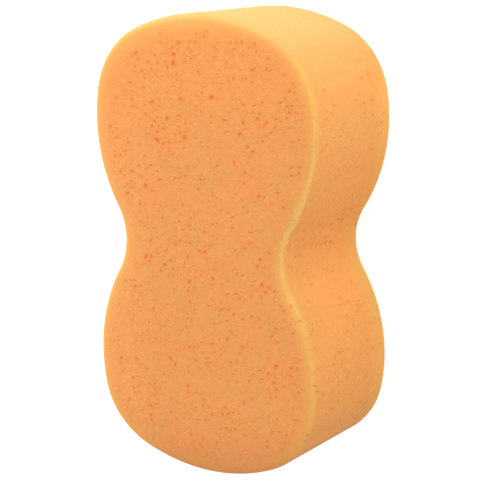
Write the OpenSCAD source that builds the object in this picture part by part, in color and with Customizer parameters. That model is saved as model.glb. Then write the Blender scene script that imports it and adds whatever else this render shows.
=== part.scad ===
// Cleaning sponge: one block of open-cell foam cut in the outline of a figure eight.
// Millimetres. The block lies on one big face: length along Y, width along X, height along Z,
// with the origin under its middle.

/* [Block] */

// Length from the end of one half to the end of the other
length = 220; // [190:1:260]
// Width across each rounded half
width = 125.5; // [114:0.5:137]
// Width across the narrow middle that the fingers close on
waist_width = 91; // [84:0.5:102]
// Height of the block as it lies
thickness = 69; // [40:0.5:90]

/* [Outline] */

// Distance between the widest places of the two halves
lobe_spacing = 117; // [104:0.5:130]
// Radius of the flat curve across each end
end_radius = 98; // [84:0.5:125]
// Radius of the tight curve between an end and a side
shoulder_radius = 39.5; // [30:0.5:48]
// Radius of the long curve down each side of a half
side_radius = 80; // [70:0.5:92]
// Radius of the worn edge where a big face meets the wall
rim_radius = 3; // [1:0.25:8]

/* [Open pores] */

// Pitch of the wide pores over the two big faces
face_pore_pitch = 26; // [18:0.5:40]
// Radius of the widest pore on the big faces
face_pore_radius = 1.5; // [0.8:0.05:2.5]
// Pitch of the wide pores round the wall
wall_pore_pitch = 38; // [26:0.5:60]
// Radius of the widest pore in the wall
wall_pore_radius = 1.2; // [0.8:0.05:2.5]
// Plain foam kept between the worn edge and the nearest pore
pore_margin = 4; // [2:0.25:10]

/* [Hidden] */

// The outline is a chain of tangent arcs, worked out here for one quarter: end, shoulder,
// side and waist. Angles are those of the outward normal, from +X.
half_y = lobe_spacing / 2;
end_c = [0, length / 2 - end_radius];
side_c = [width / 2 - side_radius, half_y];

// The shoulder arc touches the end arc and the side arc from the inside
to_end = end_radius - shoulder_radius;
to_side = side_radius - shoulder_radius;
gap_v = side_c - end_c;
gap = norm(gap_v);
along = (to_end * to_end - to_side * to_side + gap * gap) / (2 * gap);
across = sqrt(to_end * to_end - along * along);
shoulder_c = end_c + along / gap * gap_v + across / gap * [gap_v[1], -gap_v[0]];
end_angle = atan2(shoulder_c[1] - end_c[1], shoulder_c[0] - end_c[0]);
side_angle = atan2(shoulder_c[1] - side_c[1], shoulder_c[0] - side_c[0]);

// The waist arc touches the side arc from the outside and is centred on the X axis
bay = (width - waist_width) / 2;
reach = (bay * bay + half_y * half_y) / (2 * bay);
waist_radius = reach - side_radius;
waist_c = [waist_width / 2 + waist_radius, 0];
waist_angle = asin(half_y / reach);

// Straight steps along an arc of a given angle, and round the worn edge
step_angle = 5;
edge_steps = 4;
function steps(angle) = max(2, ceil(abs(angle) / step_angle));

// Lengths of the four arcs of a quarter, for spacing the pores round the wall
arc_e = end_radius * (90 - end_angle) * PI / 180;
arc_s = shoulder_radius * (end_angle - side_angle) * PI / 180;
arc_b = side_radius * (side_angle + waist_angle) * PI / 180;
arc_w = waist_radius * waist_angle * PI / 180;
quarter = arc_e + arc_s + arc_b + arc_w;

function on_arc(c, r, a) = [c[0] + r * cos(a), c[1] + r * sin(a)];

// Half width of the outline at a distance y from the middle
function half_width(y) =
    y < waist_radius * sin(waist_angle)
        ? waist_c[0] - sqrt(waist_radius * waist_radius - y * y)
    : y < side_c[1] + side_radius * sin(side_angle)
        ? side_c[0] + sqrt(side_radius * side_radius - pow(y - side_c[1], 2))
    : y < shoulder_c[1] + shoulder_radius * sin(end_angle)
        ? shoulder_c[0] + sqrt(max(0, shoulder_radius * shoulder_radius - pow(y - shoulder_c[1], 2)))
    : sqrt(max(0, end_radius * end_radius - pow(y - end_c[1], 2)));

// Point of the quarter outline at a distance s from the end of the block
function on_quarter(s) =
    s < arc_e ? on_arc(end_c, end_radius, 90 - s / arc_e * (90 - end_angle))
    : s < arc_e + arc_s
        ? on_arc(shoulder_c, shoulder_radius,
                 end_angle - (s - arc_e) / arc_s * (end_angle - side_angle))
    : s < arc_e + arc_s + arc_b
        ? on_arc(side_c, side_radius,
                 side_angle - (s - arc_e - arc_s) / arc_b * (side_angle + waist_angle))
    : on_arc(waist_c, -waist_radius, -(1 - (s - arc_e - arc_s - arc_b) / arc_w) * waist_angle);

// Even scatter without a pattern that the eye can follow
function scatter(i, k) = let (v = sin(i * 127.1 + k * 311.7) * 43758.5453) v - floor(v);

// Centres and radii of the wide pores: [x, y, z, r]
clear = rim_radius + pore_margin;
rows = floor(length / 2 / face_pore_pitch);
cols = floor(width / 2 / face_pore_pitch) + 1;
face_pores = [
    for (side = [0, 1], j = [-rows : rows], i = [-cols : cols])
        let (
            n = 1000 * side + 50 * (j + 20) + i + 20,
            x = face_pore_pitch * (i + 0.5 * (abs(j) % 2) + 0.7 * (scatter(n, 1) - 0.5)),
            y = face_pore_pitch * (j + 0.7 * (scatter(n, 2) - 0.5)),
            r = face_pore_radius * (0.62 + 0.38 * scatter(n, 3))
        )
        if (abs(y) < length / 2 - clear - 1 && abs(x) < half_width(abs(y)) - clear)
            [x, y, side * thickness, r]
];
turns = floor(quarter / wall_pore_pitch);
tiers = max(1, floor((thickness - 2 * clear) / wall_pore_pitch + 0.5));
wall_pores = [
    for (q = [0 : 3], t = [0 : turns - 1], k = [0 : tiers - 1])
        let (
            n = 4000 + 100 * q + 10 * t + k,
            s = quarter * (t + 0.5 + 0.5 * (scatter(n, 1) - 0.5)) / turns,
            z = clear + (thickness - 2 * clear) * (k + 0.5 + 0.6 * (scatter(n, 2) - 0.5)) / tiers,
            r = wall_pore_radius * (0.62 + 0.38 * scatter(n, 3)),
            p = on_quarter(s)
        )
        [p[0] * (q % 2 == 0 ? 1 : -1), p[1] * (q < 2 ? 1 : -1), z, r]
];

// Points along an arc, without its last one
function arc(c, r, from, to) = let (n = steps(to - from))
    [for (k = [0 : n - 1]) on_arc(c, r, from + (to - from) * k / n)];

// A quarter of the outline drawn in by an inset, from the end to just before the waist
function quarter_ring(inset) = concat(
    arc(end_c, end_radius - inset, 90, end_angle),
    arc(shoulder_c, shoulder_radius - inset, end_angle, side_angle),
    arc(side_c, side_radius - inset, side_angle, -waist_angle),
    arc(waist_c, -waist_radius - inset, -waist_angle, 0)
);

// The right-hand half of a ring from end to end, then the whole ring at a height z
function half_ring(inset) = let (q = quarter_ring(inset), n = len(q))
    concat(q, [[waist_width / 2 - inset, 0]], [for (k = [n - 1 : -1 : 0]) [q[k][0], -q[k][1]]]);
function ring(inset, z) = let (h = half_ring(inset), n = len(h))
    concat([for (p = h) [p[0], p[1], z]],
           [for (k = [n - 2 : -1 : 1]) [-h[k][0], h[k][1], z]]);

// The whole figure eight before its pores are opened: rings lofted from one big face,
// round its edge, up the wall and round the other edge
module block() {
    edge = [for (k = [0 : edge_steps]) let (a = 90 * k / edge_steps)
        [rim_radius * (1 - sin(a)), rim_radius * (1 - cos(a))]];
    rings = concat(
        [for (e = edge) ring(e[0], e[1])],
        [for (k = [edge_steps : -1 : 0]) ring(edge[k][0], thickness - edge[k][1])]
    );
    n = len(rings[0]);
    half = n / 2;
    last = (len(rings) - 1) * n;
    polyhedron(
        points = [for (r = rings) each r],
        faces = concat(
            [for (i = [0 : len(rings) - 2], k = [0 : n - 1])
                [i * n + k, i * n + (k + 1) % n, (i + 1) * n + (k + 1) % n, (i + 1) * n + k]],
            [[n - 1, 1, 0], [half, half - 1, half + 1]],
            [for (k = [1 : half - 2]) [n - k, n - k - 1, k + 1, k]],
            [[last, last + 1, last + n - 1], [last + half + 1, last + half - 1, last + half]],
            [for (k = [1 : half - 2]) [last + k, last + k + 1, last + n - k - 1, last + n - k]]
        )
    );
}

// Foam block with its wide pores
module foam_block() {
    color([0.94, 0.63, 0.37])
        difference() {
            block();
            for (p = concat(face_pores, wall_pores))
                translate([p[0], p[1], p[2]]) sphere(r = p[3], $fn = 13);
        }
}

foam_block();
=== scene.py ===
import math

import bmesh
import bpy
import numpy as np
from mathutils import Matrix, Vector
from mathutils.geometry import delaunay_2d_cdt


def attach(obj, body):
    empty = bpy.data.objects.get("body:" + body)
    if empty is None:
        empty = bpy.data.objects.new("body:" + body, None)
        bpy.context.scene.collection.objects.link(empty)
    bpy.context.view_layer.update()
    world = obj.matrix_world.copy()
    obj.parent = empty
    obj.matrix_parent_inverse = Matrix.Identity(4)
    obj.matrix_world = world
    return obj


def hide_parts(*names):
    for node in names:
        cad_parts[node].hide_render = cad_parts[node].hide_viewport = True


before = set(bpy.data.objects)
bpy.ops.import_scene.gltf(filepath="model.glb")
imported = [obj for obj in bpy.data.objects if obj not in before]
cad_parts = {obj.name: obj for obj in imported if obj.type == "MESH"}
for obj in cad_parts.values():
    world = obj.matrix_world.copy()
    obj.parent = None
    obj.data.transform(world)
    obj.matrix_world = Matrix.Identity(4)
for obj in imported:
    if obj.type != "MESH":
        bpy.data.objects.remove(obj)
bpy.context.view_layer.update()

# The camera
#
# A long lens looks down on the lying sponge from its right-hand side, a little towards its far
# end, and is turned so that the length of the block runs up the picture.
camera_data = bpy.data.cameras.new("camera")
camera_data.lens = 103.37
camera_data.sensor_width = 36.0
camera_data.clip_start = 0.05
camera_data.clip_end = 20.0
camera = bpy.data.objects.new("camera", camera_data)
camera.location = (0.37275, 0.15008, 0.57452)
camera.rotation_euler = [math.radians(a) for a in (-13.1878, 34.6362, -0.3407)]
bpy.context.scene.collection.objects.link(camera)
bpy.context.scene.camera = camera

# The foam block
#
# One block of open-cell foam, cut in the outline of a figure eight, with its edges worn round.
# The knife opened some of the cells: they show as pits of all sizes on the faces and the wall.

# Sizes in millimetres, as in the solid that this piece dresses. The two halves are widest at
# HALF_Y from the middle, and RIM_R is the radius of the worn edges.
LENGTH, WIDTH, WAIST, THICK = 220.0, 125.5, 91.0, 69.0
HALF_Y, END_R, SHOULDER_R, SIDE_R, RIM_R = 58.5, 98.0, 39.5, 80.0, 3.0

# The outline is a chain of arcs that run on into each other: end, shoulder, side and waist.
# They are worked out for one quarter of it, each as its centre, its radius and its two angles.
end_c = np.array([0.0, LENGTH / 2 - END_R])
side_c = np.array([WIDTH / 2 - SIDE_R, HALF_Y])
to_end, to_side = END_R - SHOULDER_R, SIDE_R - SHOULDER_R
gap_v = side_c - end_c
gap = math.hypot(*gap_v)
along = (to_end**2 - to_side**2 + gap**2) / (2 * gap)
across = math.sqrt(to_end**2 - along**2)
shoulder_c = end_c + along / gap * gap_v + across / gap * np.array([gap_v[1], -gap_v[0]])
end_a = math.atan2(*(shoulder_c - end_c)[::-1])
side_a = math.atan2(*(shoulder_c - side_c)[::-1])
bay = (WIDTH - WAIST) / 2
side_to_waist = (bay**2 + HALF_Y**2) / (2 * bay)
WAIST_R = side_to_waist - SIDE_R
waist_c = np.array([WAIST / 2 + WAIST_R, 0.0])
waist_a = math.asin(HALF_Y / side_to_waist)
arcs = [
    (end_c, END_R, math.pi / 2, end_a),
    (shoulder_c, SHOULDER_R, end_a, side_a),
    (side_c, SIDE_R, side_a, -waist_a),
    (waist_c, -WAIST_R, -waist_a, 0.0),
]
arc_ends = np.cumsum([abs(r) * abs(a - b) for _, r, a, b in arcs])
QUARTER = arc_ends[-1]
ROUND = 4 * QUARTER


def outline(s):
    """Points and outward normals at distances s round the block, clockwise from its far end."""
    s = np.asarray(s, float) % ROUND
    left = s > 2 * QUARTER
    s = np.where(left, ROUND - s, s)
    near = s > QUARTER
    s = np.clip(np.where(near, 2 * QUARTER - s, s), 0, QUARTER - 1e-9)
    which = np.searchsorted(arc_ends, s, side="right")
    start = np.concatenate([[0.0], arc_ends])[which]
    c, r, a0, a1 = (np.array(part)[which] for part in zip(*arcs))
    a = a0 + np.sign(a1 - a0) * (s - start) / np.abs(r)
    flip = np.stack([np.where(left, -1.0, 1.0), np.where(near, -1.0, 1.0)], -1)
    n = np.stack([np.cos(a), np.sin(a)], -1)
    return (c + r[..., None] * n) * flip, n * flip


# The way across the wall: from the top face round its worn edge, down and round the other one.
CORNER = RIM_R * math.pi / 2
DOWN = THICK - 2 * RIM_R + 2 * CORNER


def wall_place(s, t, depth):
    """Places on the wall at s round it and t down it, sunk by depth into the foam."""
    p, n = outline(s)
    above, below = t < CORNER, t > DOWN - CORNER
    a = np.where(below, math.pi / 2 + (t - DOWN + CORNER) / RIM_R, math.pi / 2)
    a = np.where(above, t / RIM_R, a)
    z = np.where(below, RIM_R * (1 + np.cos(a)), THICK - RIM_R - (t - CORNER))
    z = np.where(above, THICK - RIM_R * (1 - np.cos(a)), z)
    out = np.sin(a)
    xy = p - n * (RIM_R * (1 - out) + depth * out)[:, None]
    return np.column_stack([xy, z - depth * np.cos(a)])


def face_place(x, y, depth, top):
    """Places on the top or the bottom face, sunk by depth into the foam."""
    return np.column_stack([x, y, (THICK - depth) if top else depth])


def half_width(y):
    """Half the width of the outline at distances y from the middle."""
    y = np.abs(y)

    def out_to(r, c):
        return np.sqrt(np.maximum(r * r - (y - c[1]) * (y - c[1]), 0))

    half = out_to(END_R, end_c)
    at_shoulder = y < shoulder_c[1] + SHOULDER_R * math.sin(end_a)
    half = np.where(at_shoulder, shoulder_c[0] + out_to(SHOULDER_R, shoulder_c), half)
    at_side = y < side_c[1] + SIDE_R * math.sin(side_a)
    half = np.where(at_side, side_c[0] + out_to(SIDE_R, side_c), half)
    at_waist = y < WAIST_R * math.sin(waist_a)
    return np.where(at_waist, waist_c[0] - out_to(WAIST_R, waist_c), half)


# The wide pores lie where the solid has them: the same pitches over the faces and the wall, the
# same widest radii, the same way kept from the edges, and the same scatter in the same order.
FACE_PITCH, FACE_PORE, WALL_PITCH, WALL_PORE = 26.0, 1.5, 38.0, 1.2
CLEAR = RIM_R + 4.0


def scatter(i, k):
    """A scatter from 0 to 1 that never changes."""
    v = math.sin(math.radians(i * 127.1 + k * 311.7)) * 43758.5453
    return v - math.floor(v)


def wide_radius(widest, n):
    """From three fifths of the widest radius to all of it."""
    return widest * (0.62 + 0.38 * scatter(n, 3))


def wide_on_face(side):
    """The wide pores of the bottom face, side 0, or the top face, side 1: x, y and radius."""
    found = []
    rows, cols = int(LENGTH / 2 / FACE_PITCH), int(WIDTH / 2 / FACE_PITCH) + 1
    for j in range(-rows, rows + 1):
        for i in range(-cols, cols + 1):
            n = 1000 * side + 50 * (j + 20) + i + 20
            x = FACE_PITCH * (i + 0.5 * (abs(j) % 2) + 0.7 * (scatter(n, 1) - 0.5))
            y = FACE_PITCH * (j + 0.7 * (scatter(n, 2) - 0.5))
            if abs(y) < LENGTH / 2 - CLEAR - 1 and abs(x) < half_width(y) - CLEAR:
                found.append((x, y, wide_radius(FACE_PORE, n)))
    return found


# A file of open pores runs down the right-hand wall where the block is narrowest: how many there
# are, the way down to the first and on to the next, how far the file lies from the middle of the
# waist, and how much it leans.
FILE_COUNT, FILE_TOP, FILE_STEP, FILE_OFF, FILE_LEAN = 8, 9.0, 4.2, 6.6, 0.13


def wide_on_wall():
    """The wide pores of the wall: the way round it, the way down it, and the radius."""
    found = []
    turns = int(QUARTER / WALL_PITCH)
    for q in range(4):
        for t in range(turns):
            n = 4000 + 100 * q + 10 * t
            s = QUARTER * (t + 0.5 + 0.5 * (scatter(n, 1) - 0.5)) / turns
            z = CLEAR + (THICK - 2 * CLEAR) * (0.5 + 0.6 * (scatter(n, 2) - 0.5))
            s = (s, ROUND - s, 2 * QUARTER - s, 2 * QUARTER + s)[q]
            found.append((s, CORNER + THICK - RIM_R - z, wide_radius(WALL_PORE, n)))
    for k in range(FILE_COUNT):
        t = CORNER + FILE_TOP + FILE_STEP * k + 1.5 * scatter(k, 5)
        s = QUARTER - FILE_OFF + FILE_LEAN * (t - CORNER) + 1.6 * (scatter(k, 6) - 0.5)
        found.append((s, t, 1.13 + 0.1 * scatter(k, 7)))
    return found


# Radii from which a pore's painted shade spreads onto the foam round its lip, and from which it
# counts as wide.
SOFT_FROM, WIDE_FROM = 0.5, 1.12
# How far out the painted shade goes, as shares of the pore's size: round most pores and round wide
# ones.
PIT_SHADE_OUT, WIDE_PIT_SHADE_OUT = 1.8, 1.85
# Foam left between two pores, and the share by which an uneven lip may reach past its radius.
PORE_GAP, LIP_SPARE = 0.2, 1.12
# Squares that the pores are sorted into, to find the neighbours of one.
NEIGHBOUR_CELL = 4.0
# Tries for each pore, the share of pores that join a clump, and how loose the clumps are.
TRIES, CLUMPED, CLUMP_LOOSE = 14, 0.5, 1.6
# Most pores are near the least radius of their kind, and most are nearly round. A pore is
# stretched by the least share at any rate, by more where foam has risen, and by up to the most.
SIZE_POWER, STRETCH_POWER = 1.5, 2.5
STRETCH_LEAST, STRETCH_RISEN, STRETCH_MOST = 0.04, 0.2, 0.6
# The same for the pores that the solid has, and how far risen cells are turned upright.
OWN_LEAST, OWN_MOST, OWN_RISEN, UPRIGHT = 0.05, 0.08, 0.12, 0.8


def reach_of(r, stretch):
    return r * (1 + stretch) * LIP_SPARE


def fill_pores(wide, counts, place, room, rise, seed):
    """Adds pores between the wide ones until each size has its count, none touching another.

    place draws one random spot, and room says how far a spot is from the border of its surface.
    Foam rises as it is blown: rise is 0 where its cells are seen from above and 1 where they are
    seen from the side, drawn out upwards. Each pore is its centre, its radius, how far it is
    stretched and which way.
    """
    rng = np.random.default_rng(seed)
    grid, pores = {}, []

    def add(x, y, r, stretch):
        key = (int(x // NEIGHBOUR_CELL), int(y // NEIGHBOUR_CELL))
        out = reach_of(r, stretch)
        for i in (-1, 0, 1):
            for j in (-1, 0, 1):
                for px, py, reach in grid.get((key[0] + i, key[1] + j), ()):
                    if (px - x) ** 2 + (py - y) ** 2 < (reach + out + PORE_GAP) ** 2:
                        return False
        grid.setdefault(key, []).append((x, y, out))
        turn = rng.random() * math.pi
        pores.append((x, y, r, stretch, turn + rise * UPRIGHT * (math.pi / 2 - turn)))
        return True

    for x, y, r in wide:
        add(x, y, r, OWN_LEAST + (OWN_MOST + OWN_RISEN * rise) * rng.random())
    for count, low, high in counts:
        have = 0
        for _ in range(count * TRIES):
            x, y = place(rng)
            r = low + (high - low) * rng.random() ** SIZE_POWER
            risen = STRETCH_RISEN * rise
            stretch = STRETCH_LEAST + risen
            stretch += (STRETCH_MOST - risen) * rng.random() ** STRETCH_POWER
            out = reach_of(r, stretch)
            if rng.random() < CLUMPED:
                # Cells open in clumps, so this pore lies close to one that is there already.
                near_x, near_y, near_r, near_stretch, _ = pores[int(rng.random() * len(pores))]
                off = reach_of(near_r, near_stretch) + out + PORE_GAP
                off += CLUMP_LOOSE * rng.random() ** 2
                turn = rng.random() * 2 * math.pi
                x, y = near_x + off * math.cos(turn), near_y + off * math.sin(turn)
            if room(x, y) > out + PORE_GAP and add(x, y, r, stretch):
                have += 1
                if have == count:
                    break
    return pores


# Points on a pore's lip, by the radius from which it has so many, and what a long pore has more.
LIP_POINTS = ((WIDE_FROM, 14), (0.75, 9), (SOFT_FROM, 8), (0.0, 7))
LONG_FROM, LONG_MORE = 0.35, 2
# A whole turn, as the random angles take it, and how uneven a lip is, in three lobes and in two.
TURN, THREE_LOBED, TWO_LOBED = 6.28, 0.09, 0.05


def rings(pores, seed):
    """The lip of each pore as a closed ring, uneven and stretched, the longest ones bent."""
    rng = np.random.default_rng(seed)
    lips = []
    for x, y, r, stretch, turn in pores:
        k = next(points for least, points in LIP_POINTS if r > least)
        k += LONG_MORE * (stretch > LONG_FROM)
        a = np.arange(k) * 2 * math.pi / k + rng.random() * TURN
        three = THREE_LOBED * np.cos(3 * a + rng.random() * TURN)
        rr = r * (1 + three + TWO_LOBED * np.cos(2 * a + rng.random() * TURN))
        half = r * (1 + stretch)
        long, short = rr * (1 + stretch) * np.cos(a), rr / (1 + stretch) * np.sin(a)
        short += stretch * (rng.random() - 0.5) * (long ** 2 / half - 0.4 * half)
        lips.append(np.column_stack([x + long * math.cos(turn) - short * math.sin(turn),
                                     y + long * math.sin(turn) + short * math.cos(turn)]))
    return lips


# A pore is as deep as this share of its radius, and up to so much more. Most of them are faint.
DEPTH_LOW, DEPTH_MORE = 0.07, 0.2
BOLD_POWER = 1.75
# The shade painted at the bottom of a pore in the same way, what a wide one has more, the share
# of it that the pore's side has at its top, and the share that its lip has.
PIT_SHADE_LOW, PIT_SHADE_MORE, WIDE_PIT_SHADE, SIDE_PIT_SHADE, LIP_PIT_SHADE = 0.21, 0.68, 0.1, 0.4, 0.55
# Wide pores are painted red inside, for the light that scatters in them. So is one in 25 of those
# that are almost as wide.
RED_FROM, RED_ABOVE = 0.9, 0.96
# The steps in a pit: its size there as a share of its lip, and how far down it is as a share.
WIDE_STEPS, STEPS = ((0.78, 0.5), (0.42, 0.88)), ((0.6, 0.75),)
# Points closer than this are one, and what lies outside the sheet is left out.
ONE_PLACE, INSIDE_ONLY = 1e-6, 1


def open_surface(border, guide, pores, reds, seed):
    """A flat sheet with its border, its guide points and its pores cut as pits.

    Gives the places u and v on the sheet, how deep each point lies, how much painted shade
    and painted red it has, the faces, and the lips of the pores.
    """
    lips = rings(pores, seed)
    # A ring of guide points round each wider pore, where its painted shade has faded out.
    pit_shade_rings = []
    for (x, y, r, _, _), lip in zip(pores, lips):
        if r > SOFT_FROM:
            c = np.array([x, y])
            pit_shade_rings.append(c + (WIDE_PIT_SHADE_OUT if r > WIDE_FROM else PIT_SHADE_OUT) * (lip - c))
    guide = np.concatenate([guide] + pit_shade_rings)
    pts = np.concatenate([border, guide] + lips)
    first = len(border) + len(guide)
    loops = []
    for lip in lips:
        loops.append(list(range(first, first + len(lip))))
        first += len(lip)
    sheet = [list(range(len(border)))]
    places, _, tris, sources, _, owners = delaunay_2d_cdt(
        [tuple(p) for p in pts], [], sheet + loops, INSIDE_ONLY, ONE_PLACE, True)
    xy = np.array([tuple(p) for p in places])
    home = {source: i for i, those in enumerate(sources) for source in those}
    # Triangles that only the sheet owns are kept, and the pores' own are left out for the pits.
    keep = [tuple(tri) for tri, owner in zip(tris, owners) if list(owner) == [0]]
    u, v = list(xy[:, 0]), list(xy[:, 1])
    depth, down, red = ([0.0] * len(u) for _ in range(3))
    loops = [[home[i] for i in loop] for loop in loops]
    rng = np.random.default_rng(seed + 1)
    for (x, y, r, _, _), lip in zip(pores, loops):
        k = len(lip)
        is_wide = r > WIDE_FROM
        bold = rng.random() ** BOLD_POWER
        # How deep the pit is, and how much shade is painted into it.
        deep, pit_shade = r * (DEPTH_LOW + DEPTH_MORE * bold), PIT_SHADE_LOW + PIT_SHADE_MORE * bold
        is_red = is_wide or (r > RED_FROM and rng.random() > RED_ABOVE)
        redness = reds * (0.5 + 0.5 * bold) if is_red else 0.0
        if is_wide:
            pit_shade += WIDE_PIT_SHADE
        last = lip
        for share, sink in WIDE_STEPS if is_wide else STEPS:
            here = list(range(len(u), len(u) + k))
            for i in lip:
                u.append(x + share * (xy[i, 0] - x))
                v.append(y + share * (xy[i, 1] - y))
                depth.append(deep * sink)
                down.append(pit_shade * (SIDE_PIT_SHADE + (1 - SIDE_PIT_SHADE) * sink))
                red.append(redness)
            for a in range(k):
                b = (a + 1) % k
                keep += [(last[a], last[b], here[b]), (last[a], here[b], here[a])]
            last = here
        for column, value in ((u, x), (v, y), (depth, deep), (down, pit_shade), (red, redness)):
            column.append(value)
        keep += [(last[a], last[(a + 1) % k], len(u) - 1) for a in range(k)]
        for i in lip:
            red[i], down[i] = redness, LIP_PIT_SHADE * pit_shade if r > SOFT_FROM else 0.0
    return [np.array(column) for column in (u, v, depth, down, red)] + [keep, loops]


# The border between the wall and the faces has the same points on both, about 2.5 mm apart.
# Three rings of guide points follow it on each face: how many points, and how far in.
N_ROUND = 248
FACE_RINGS = ((220, RIM_R + 1.2), (180, RIM_R + 2.6), (140, RIM_R + 4.6))


def drawn_in(count, inset):
    """The outline as points in a ring, anticlockwise, drawn in by an inset."""
    p, n = outline(np.arange(count) * ROUND / count)
    return (p - inset * n)[::-1]


face_border = drawn_in(N_ROUND, RIM_R)
face_guide = np.concatenate([drawn_in(count, inset) for count, inset in FACE_RINGS])
each_mm_round = outline(np.arange(0, ROUND, 1.0))[0]


def ramp(v, low, span):
    """0 up to a low value, rising to 1 over a span and staying there."""
    return np.clip((v - low) / span, 0, 1)


def hump(v, middle, half):
    """1 in the middle, falling away to both sides over about so much."""
    return np.exp(-((v - middle) / half)**2)


def on_face(rng):
    return (rng.random() - 0.5) * WIDTH, (rng.random() - 0.5) * LENGTH


def face_room(x, y):
    """How far a spot on a face is from the worn edge, or less than nothing outside the face."""
    if abs(x) > half_width(y):
        return -1.0
    off = (each_mm_round[:, 0] - x) ** 2 + (each_mm_round[:, 1] - y) ** 2
    return float(np.min(off)) ** 0.5 - RIM_R


# The top face's pores leave a border of plain foam, wider along the far left and at the far end.
BARE, BARE_LEFT, BARE_FAR = 0.8, 5.0, 2.0


def top_room(x, y):
    far_left = ramp(-x, 0, 30) * ramp(y, -90, 30)
    return face_room(x, y) - BARE - BARE_LEFT * far_left - BARE_FAR * ramp(y, 80, 20)


def on_wall(rng):
    return rng.random() * ROUND, rng.random() * DOWN


def wall_room(s, t):
    return min(s, ROUND - s, t, DOWN - t)


# The pores by size: how many there are and their least and greatest radius, in millimetres.
sizes = [(28, 1.13, 1.5), (410, 0.86, 1.18), (460, 0.62, 0.86), (100, 0.44, 0.62)]
top_pores = fill_pores(wide_on_face(1), sizes, on_face, top_room, 0, 11)
sizes = [(26, 1.13, 1.4), (280, 0.78, 1.05), (320, 0.58, 0.78), (100, 0.42, 0.58)]
low_pores = fill_pores(wide_on_face(0), sizes, on_face, face_room, 0, 12)
sizes = [(16, 1.13, 1.3), (460, 0.8, 1.08), (520, 0.6, 0.8), (100, 0.46, 0.6)]
wall_pores = fill_pores(wide_on_wall(), sizes, on_wall, wall_room, 1, 13)

# The wall is laid out flat. Its guide points are in rows, close together round the worn edges
# and next to them, and wide apart in between.
EDGE_ROWS, NEXT_ROWS, ROW_FROM, ROW_TO, ROW_PITCH = 5, (1.6, 3.6, 6.6), 12.0, 10.0, 6.5
rows = np.concatenate([CORNER * np.arange(1, EDGE_ROWS + 1) / EDGE_ROWS,
                       CORNER + np.array(NEXT_ROWS),
                       np.arange(CORNER + ROW_FROM, DOWN - CORNER - ROW_TO, ROW_PITCH)])
rows = np.unique(np.round(np.concatenate([rows, DOWN - rows]), 6))
seam = np.concatenate([[0.0], rows])
columns = np.arange(N_ROUND) * ROUND / N_ROUND
wall_border = np.concatenate([
    np.column_stack([columns, np.zeros(N_ROUND)]),
    np.column_stack([np.full(len(seam), ROUND), seam]),
    np.column_stack([ROUND - columns, np.full(N_ROUND, DOWN)]),
    np.column_stack([np.zeros(len(seam)), DOWN - seam]),
])
wall_guide = np.array([(s, t) for s in columns[1:] for t in rows])


def clear_of(points, pores, spare=0.1, batch=400):
    """The guide points that lie outside every pore, with a little to spare."""
    c = np.array([p[:2] for p in pores])
    r = np.array([reach_of(p[2], p[3]) for p in pores]) + spare
    keep = np.ones(len(points), bool)
    for i in range(0, len(points), batch):
        off = points[i:i + batch, None] - c[None]
        keep[i:i + batch] = (np.hypot(off[..., 0], off[..., 1]) > r).all(1)
    return points[keep]


# The fingers have smoothed the wall beyond the waist, and use has smoothed the far end: by these
# shares the pores there are shallower and fainter. All over the wall their painted shade is
# deeper.
WAIST_PLAIN, FAR_PLAIN, WALL_PIT_SHADE = 0.5, 0.75, 1.15
# How fast the worn edge's colour fades on a face, how much faster on the right and slower at the
# far end. Down the wall it fades faster, least at the foot and most at the far end.
FACE_FADE, FADE_RIGHT, FADE_FAR = 1.2, 0.6, 0.25
WALL_FADE, FADE_FOOT, WALL_FADE_FAR = 3.0, 2.4, 4.0
# What the pale line along the edge is narrower by at the near end, whose edge lies in shade, and
# at the far end, in millimetres, what it is wider by near the waist, and what more on the right
# beyond it, towards the face.
NEAR_THIN, FAR_THIN, WAIST_BROAD, FACE_BROAD = 3.0, 2.2, 0.9, 1.2
# The near end's edges lie in shade, so the soft band's painted glow is kept off them.
NEAR_SHADED_EDGE = 9.0

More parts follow.
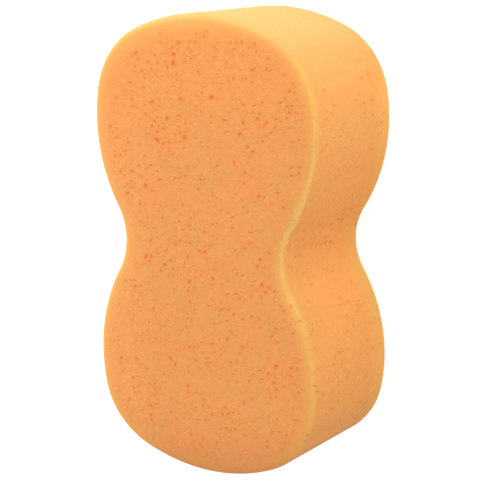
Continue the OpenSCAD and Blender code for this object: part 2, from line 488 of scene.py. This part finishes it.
# The block is put together from its two faces and its wall, each with its own pores, the painted
# redness of the wide ones and a seed. Every point also carries its distance from the middle of the
# worn edge, once for the pale line and once for the soft band beside it, how much painted shade
# and painted red it has, and whether it is on a face, 0, or on the wall, 1. Places along the block
# are in millimetres.
verts, faces, lips = [], [], []
marks = {"from_rim": [], "soft_rim": [], "pore": [], "wide": [], "wall": []}
base = 0
for kind, border, guide, pores, reds, seed in (
        ("top", face_border, face_guide, top_pores, 1.0, 21),
        ("low", face_border, face_guide, low_pores, 0.8, 31),
        ("wall", wall_border, wall_guide, wall_pores, 0.55, 41)):
    guide = clear_of(guide, pores)
    u, v, depth, down, red, tris, loops = open_surface(border, guide, pores, reds, seed)
    if kind == "wall":
        along_y = outline(u)[0][:, 1]
        plain = 1 - WAIST_PLAIN * hump(along_y, 26, 13) - FAR_PLAIN * ramp(along_y, 80, 20)
        p = wall_place(u, v, depth * plain)
        down = down * plain * WALL_PIT_SHADE
        to_border = np.minimum(v, DOWN - v)
        away = np.abs(to_border - CORNER / 2)
        fade = WALL_FADE - FADE_FOOT * ramp(v / DOWN, 0.25, 0.5)
        fade += WALL_FADE_FAR * ramp(p[:, 1], 75, 20)
        side = ramp(to_border, 0, CORNER)
    else:
        p = face_place(u, v, depth, kind == "top")
        away = np.abs(np.array([face_room(a, b) for a, b in zip(u, v)]) + CORNER / 2)
        fade = side = np.zeros(len(u))
    if kind == "low":
        tris = [tri[::-1] for tri in tris]
    x, y = p[:, 0], p[:, 1]
    face_fade = FACE_FADE + FADE_RIGHT * ramp(x, 0, 20) - FADE_FAR * ramp(y, 60, 30)
    near, far = ramp(-y, 97, 9), ramp(y, 85, 15)
    to_face = (x > 0) * (1 - ramp(side, 0, 0.5)) * hump(y, 30, 18)
    marks["from_rim"].append(away + NEAR_THIN * near + FAR_THIN * far
                             - WAIST_BROAD * hump(y, 18, 25) - FACE_BROAD * to_face)
    marks["soft_rim"].append(away * np.where(side < 0.5, face_fade, fade) + NEAR_SHADED_EDGE * near)
    marks["pore"].append(down)
    marks["wide"].append(red)
    marks["wall"].append(side)
    verts.append(p)
    faces += [tuple(base + i for i in tri) for tri in tris]
    lips += [[base + i for i in loop] for loop in loops]
    base += len(p)
verts = np.concatenate(verts)

# Soft foam is never quite flat. The top face swells inside its edges and droops towards the ends,
# most of all the near one, and under the block the edges are lifted a little off the floor.
SWELL, SWELL_BAND, SWELL_POWER, LIFT = 0.9, 15.0, 2.5, 0.4
NEAR_DROOP, NEAR_FROM, FAR_DROOP, FAR_FROM = 2.4, 78.0, 0.7, 97.0
inward = np.array([face_room(x, y) + RIM_R for x, y, _ in verts])
edge_share = np.clip(1 - np.maximum(inward, 0) / SWELL_BAND, 0, 1) ** SWELL_POWER
near_end = ramp(-verts[:, 1], NEAR_FROM, LENGTH / 2 - NEAR_FROM)
far_end = ramp(verts[:, 1], FAR_FROM, LENGTH / 2 - FAR_FROM)
droop = NEAR_DROOP * near_end**2 + FAR_DROOP * far_end**2
height = verts[:, 2] / THICK
verts[:, 2] += height * (SWELL * (1 - edge_share) - droop) + (1 - height) * LIFT * edge_share

# Nor is it cut quite square. Its ends stand out a little, the far one most at its foot and the
# near one at its top, the top of the near end is askew, and the left-hand side is less waisted.
FAR_OUT, NEAR_OUT, ASKEW, FULLER_LEFT = 0.3, 1.2, 0.03, 0.55
verts[:, 1] += FAR_OUT * (1 - 0.5 * height) * far_end**2 - NEAR_OUT * height * near_end**2
verts[:, 1] += ASKEW * height * verts[:, 0] * ramp(-verts[:, 1], 55, 50)
verts[:, 0] -= FULLER_LEFT * ramp(-verts[:, 0], 0, 40) * hump(verts[:, 1], -4, 18)

MM, WELD = 0.001, 2e-6
foam_mesh = bpy.data.meshes.new("foam")
foam_mesh.from_pydata([tuple(p) for p in verts * MM], [], faces)
for name, parts in marks.items():
    layer = foam_mesh.attributes.new(name, "FLOAT", "POINT")
    layer.data.foreach_set("value", np.concatenate(parts).astype(np.float32))
for poly in foam_mesh.polygons:
    poly.use_smooth = True
# The lips of the pores are sharp edges, and the faces and the wall are joined where they meet.
bm = bmesh.new()
bm.from_mesh(foam_mesh)
bm.verts.ensure_lookup_table()
for lip in lips:
    for i, j in zip(lip, lip[1:] + lip[:1]):
        edge = bm.edges.get((bm.verts[i], bm.verts[j]))
        if edge:
            edge.smooth = False
bmesh.ops.remove_doubles(bm, verts=bm.verts, dist=WELD)
bm.to_mesh(foam_mesh)
bm.free()
foam = bpy.data.objects.new("foam", foam_mesh)
bpy.context.scene.collection.objects.link(foam)

# Dry foam: warm orange in soft blotches, with painted light and shade by place, paler and yellower
# where the edges are worn and painted light glows through them, painted shade and red down in the
# pores, and flecked all over with painted glints and shade of cells too fine to be cut one by one.
foam_mat = bpy.data.materials.new("foam")
foam_mat.use_nodes = True
nodes, links = foam_mat.node_tree.nodes, foam_mat.node_tree.links
shader = nodes["Principled BSDF"]
shader.inputs["Roughness"].default_value = 0.96
shader.inputs["Specular IOR Level"].default_value = 0.15
shader.inputs["Sheen Weight"].default_value = 0.05
shader.inputs["Sheen Roughness"].default_value = 0.5


def srgb(*rgb):
    """A colour as the eye reads it, 0 to 255, turned into the shader's own scale."""
    shares = [c / 255 for c in rgb]
    return [c / 12.92 if c <= 0.04045 else ((c + 0.055) / 1.055) ** 2.4 for c in shares] + [1.0]


def blend_in(factor, base, over):
    """Lays one colour over another by a factor, and hands on the result."""
    mix = nodes.new("ShaderNodeMix")
    mix.data_type = "RGBA"
    for socket, value in ((mix.inputs[0], factor), (mix.inputs[6], base), (mix.inputs[7], over)):
        if isinstance(value, list):
            socket.default_value = value
        else:
            links.new(value, socket)
    return mix.outputs[2]


def ranged(value, low, high, to_low, to_high):
    """Stretches a value from one range to another, held at both ends."""
    node = nodes.new("ShaderNodeMapRange")
    links.new(value, node.inputs["Value"])
    for name, number in (("From Min", low), ("From Max", high),
                         ("To Min", to_low), ("To Max", to_high)):
        node.inputs[name].default_value = number
    return node.outputs["Result"]


def smooth(value, low, high, to_low, to_high):
    """As ranged, but easing in and out."""
    out = ranged(value, low, high, to_low, to_high)
    out.node.interpolation_type = "SMOOTHSTEP"
    return out


def times(a, b):
    node = nodes.new("ShaderNodeMath")
    node.operation = "MULTIPLY"
    links.new(a, node.inputs[0])
    links.new(b, node.inputs[1])
    return node.outputs["Value"]


def some_of(share, a, b):
    """One value times a plain number, added to another."""
    node = nodes.new("ShaderNodeMath")
    node.operation = "MULTIPLY_ADD"
    node.inputs[1].default_value = share
    links.new(a, node.inputs[0])
    links.new(b, node.inputs[2])
    return node.outputs["Value"]


# Where a point is, in metres: as a whole, then across the block, along it and above the floor.
place = nodes.new("ShaderNodeTexCoord").outputs["Object"]
apart = nodes.new("ShaderNodeSeparateXYZ")
links.new(place, apart.inputs["Vector"])
across_block, along_block, above_floor = (apart.outputs[axis] for axis in "XYZ")
only_y = nodes.new("ShaderNodeCombineXYZ")
links.new(along_block, only_y.inputs["Y"])


def around(y, half):
    """1 at a place along the block, fading to 0 at a distance on both sides of it."""
    apart_by = nodes.new("ShaderNodeVectorMath")
    apart_by.operation = "DISTANCE"
    apart_by.inputs[1].default_value = (0.0, y, 0.0)
    links.new(only_y.outputs["Vector"], apart_by.inputs[0])
    return smooth(apart_by.outputs["Value"], 0.0, half, 1.0, 0.0)


def noise(scale, detail):
    node = nodes.new("ShaderNodeTexNoise")
    node.inputs["Scale"].default_value = scale
    node.inputs["Detail"].default_value = detail
    links.new(place, node.inputs["Vector"])
    return node.outputs["Fac"]


def attribute(name):
    node = nodes.new("ShaderNodeAttribute")
    node.attribute_name = name
    return node.outputs["Fac"]


def flecks(scale, share, strength, width=0.4):
    """Round flecks in a share of the cells of a loose grid, fading out at a width."""
    grid = nodes.new("ShaderNodeTexVoronoi")
    grid.inputs["Scale"].default_value = scale
    links.new(place, grid.inputs["Vector"])
    chosen = nodes.new("ShaderNodeSeparateColor")
    links.new(grid.outputs["Color"], chosen.inputs["Color"])
    fleck = ranged(grid.outputs["Distance"], width * 0.3, width, 1.0, 0.0)
    return times(fleck, ranged(chosen.outputs[0], 1 - share, 1 - share + 0.04, 0.0, strength))


# The foam's colours, each laid over the last. First the wall, with painted light beside the waist
# and painted shade under its top edge, and then the faces, with painted light on the left and at
# the far end.
on_wall_side = attribute("wall")
far_wall = smooth(along_block, 0.045, 0.062, 0.0, 1.0)
far_end_wall = smooth(along_block, 0.085, 0.105, 0.0, 1.0)
under_edge_painted_shade = smooth(above_floor, 0.04, 0.062, 0.0, 0.8)
left_face_painted_light = smooth(across_block, -0.02, -0.048, 0.0, 0.85)
far_face_painted_light = smooth(along_block, 0.05, 0.085, 0.0, 0.7)
blotch = ranged(noise(70, 2.0), 0.38, 0.62, 0.0, 1.0)
cut_wall = blend_in(blotch, srgb(225, 155, 82), srgb(228, 154, 82))
# Painted light: the wall beside the waist is painted brighter.
cut_wall = blend_in(around(0.017, 0.03), cut_wall, srgb(240, 162, 86))
cut_wall = blend_in(far_wall, cut_wall, srgb(219, 154, 82))
cut_wall = blend_in(far_end_wall, cut_wall, srgb(225, 155, 89))
# Painted shade under the top edge of the wall, on the near side of the waist.
cut_wall = blend_in(times(around(-0.02, 0.03), under_edge_painted_shade), cut_wall, srgb(212, 154, 80))
face = blend_in(blotch, srgb(232, 158, 90), srgb(239, 154, 88))
face = blend_in(left_face_painted_light, face, srgb(244, 161, 94))
face = blend_in(far_face_painted_light, face, srgb(243, 157, 87))
colour = blend_in(on_wall_side, face, cut_wall)

# A fine mottle lies over them, and over that the flecks of the smallest cells: pale ones painted
# glints on their lips, and dark ones painted shade in their hollows.
mottle = ranged(noise(420, 2.0), 0.35, 0.65, 0.0, 0.45)
colour = blend_in(mottle, colour, srgb(223, 144, 76))
colour = blend_in(flecks(620, 0.16, 0.45), colour, srgb(246, 180, 116))
colour = blend_in(flecks(430, 0.2, 0.45), colour, srgb(214, 135, 72))

# The worn edge is a soft yellow band, partly wear and partly painted light that glows through the
# thin foam there, and along its middle runs a pale line, ragged and notched.
worn_and_glow_band = smooth(attribute("soft_rim"), 0.4, 11.0, 0.75, 0.0)
far_half = smooth(along_block, 0.0, 0.06, 0.0, 1.0)
upper_far = times(far_half, smooth(above_floor, 0.03, 0.06, 0.0, 1.0))
soft_wall = blend_in(upper_far, srgb(229, 171, 87), srgb(219, 171, 85))
# Painted shade dulls the band on the wall on the near side of the waist.
soft_wall = blend_in(around(-0.022, 0.032), soft_wall, srgb(213, 170, 86))
worn = blend_in(on_wall_side, srgb(239, 172, 89), soft_wall)
far_tip = smooth(along_block, 0.085, 0.1, 0.0, 1.0)
far_edge = times(far_tip, ranged(on_wall_side, 0.1, 0.5, 0.0, 1.0))
colour = blend_in(worn_and_glow_band, colour, blend_in(far_edge, worn, srgb(228, 162, 98)))
RAGGED = 3.4
ridge = smooth(some_of(RAGGED, noise(480, 3.0), attribute("from_rim")), 1.3, 2.4, 0.88, 0.0)
# The pale line has painted light beside the waist and painted shade on the near side of it.
pale = blend_in(around(0.02, 0.04), srgb(226, 181, 104), srgb(241, 189, 105))
pale = blend_in(around(-0.022, 0.03), pale, srgb(209, 174, 99))
colour = blend_in(ridge, colour, pale)

# Painted shade: the near end, which the lamps light least, is painted duller along a line that
# lies a little askew, and darker and browner down its wall.
LINE_ASKEW = -0.2
near_line = some_of(LINE_ASKEW, across_block, along_block)
near_painted_shade = blend_in(on_wall_side, srgb(214, 141, 78), srgb(224, 151, 71))
colour = blend_in(smooth(near_line, -0.088, -0.114, 0.0, 0.55), colour, near_painted_shade)
near_wall_painted_shade = times(smooth(near_line, -0.099, -0.107, 0.0, 0.65), on_wall_side)
colour = blend_in(near_wall_painted_shade, colour, srgb(186, 126, 80))

# Inside the pores is painted shade, a deeper orange, browner on the wall and more so towards the
# far end, and the wide ones are painted red for the light that scatters in them.
far_pore = smooth(along_block, 0.05, 0.1, 0.0, 1.0)
wall_pit_shade_colour = blend_in(far_pore, srgb(213, 133, 58), srgb(196, 130, 56))
pit_shade_colour = blend_in(on_wall_side, srgb(226, 133, 59), wall_pit_shade_colour)
pit_shade_colour = blend_in(attribute("wide"), pit_shade_colour, srgb(240, 124, 60))
colour = blend_in(attribute("pore"), colour, pit_shade_colour)
links.new(colour, shader.inputs["Base Color"])

# The grain of the finest cells, which is felt more than seen.
grain = nodes.new("ShaderNodeBump")
grain.inputs["Strength"].default_value = 0.3
grain.inputs["Distance"].default_value = 0.0004
links.new(noise(1100, 2.5), grain.inputs["Height"])
links.new(grain.outputs["Normal"], shader.inputs["Normal"])
foam_mesh.materials.append(foam_mat)

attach(foam, "root")
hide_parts("foam_block")

# The floor and the light
#
# A white floor fills the picture. Soft light comes from all round. Two wide lamps stand low beyond
# the far end and one low on the left, so the light falls off along the block.
FLOOR_HALF, FLOOR_DOWN = 3.0, -0.0001
floor_corners = [(x * FLOOR_HALF, y * FLOOR_HALF, FLOOR_DOWN)
                 for x, y in ((-1, -1), (1, -1), (1, 1), (-1, 1))]
floor_mesh = bpy.data.meshes.new("floor")
floor_mesh.from_pydata(floor_corners, [], [(0, 1, 2, 3)])
floor = bpy.data.objects.new("floor", floor_mesh)
bpy.context.scene.collection.objects.link(floor)


def looked_at(tree):
    """1 for the camera's own rays, also by way of a mirror or through glass, and 0 for light."""
    path = tree.nodes.new("ShaderNodeLightPath")
    seen = path.outputs["Is Camera Ray"]
    for ray in ("Is Glossy Ray", "Is Transmission Ray"):
        either = tree.nodes.new("ShaderNodeMath")
        either.operation = "MAXIMUM"
        tree.links.new(seen, either.inputs[0])
        tree.links.new(path.outputs[ray], either.inputs[1])
        seen = either.outputs["Value"]
    return seen


# The floor glows at half strength, but only to the eye, so the glow throws no light on the foam.
FLOOR_LIFT = 0.5
floor_mat = bpy.data.materials.new("floor")
floor_mat.use_nodes = True
floor_tree = floor_mat.node_tree
floor_shader = floor_tree.nodes["Principled BSDF"]
floor_shader.inputs["Base Color"].default_value = (0.93, 0.93, 0.93, 1)
floor_shader.inputs["Roughness"].default_value = 1.0
floor_shader.inputs["Specular IOR Level"].default_value = 0.0
floor_shader.inputs["Emission Color"].default_value = (1, 1, 1, 1)
lift = floor_tree.nodes.new("ShaderNodeMath")
lift.operation = "MULTIPLY"
lift.inputs[1].default_value = FLOOR_LIFT
floor_tree.links.new(looked_at(floor_tree), lift.inputs[0])
floor_tree.links.new(lift.outputs["Value"], floor_shader.inputs["Emission Strength"])
floor_mesh.materials.append(floor_mat)

# The world is white to the eye and a little less as a light.
WORLD_LIGHT = 0.87
world = bpy.data.worlds.new("studio")
bpy.context.scene.world = world
world.use_nodes = True
sky = world.node_tree.nodes["Background"]
sky.inputs["Color"].default_value = (1, 1, 1, 1)
level = world.node_tree.nodes.new("ShaderNodeMapRange")
level.inputs["To Min"].default_value = WORLD_LIGHT
level.inputs["To Max"].default_value = 1.0
world.node_tree.links.new(looked_at(world.node_tree), level.inputs["Value"])
world.node_tree.links.new(level.outputs["Result"], sky.inputs["Strength"])

# The lamps: how wide each is, its power, and the way to it from the middle of the block.
LAMP_AWAY = 0.7
lamp_aim = Vector((0.0, 0.0, 0.04))
for name, size, watts, way in (("far_lamp", 0.5, 3.3, (-0.5, 0.86, 0.12)),
                               ("right_lamp", 0.4, 2.9, (0.5, 0.85, 0.1)),
                               ("left_lamp", 0.4, 2.4, (-0.95, 0.3, 0.16))):
    lamp_data = bpy.data.lights.new(name, "AREA")
    lamp_data.shape = "DISK"
    lamp_data.size = size
    lamp_data.energy = watts
    lamp = bpy.data.objects.new(name, lamp_data)
    lamp.location = lamp_aim + LAMP_AWAY * Vector(way).normalized()
    lamp.rotation_euler = (lamp.location - lamp_aim).to_track_quat("Z", "Y").to_euler()
    bpy.context.scene.collection.objects.link(lamp)

bpy.context.scene.view_settings.view_transform = "Standard"
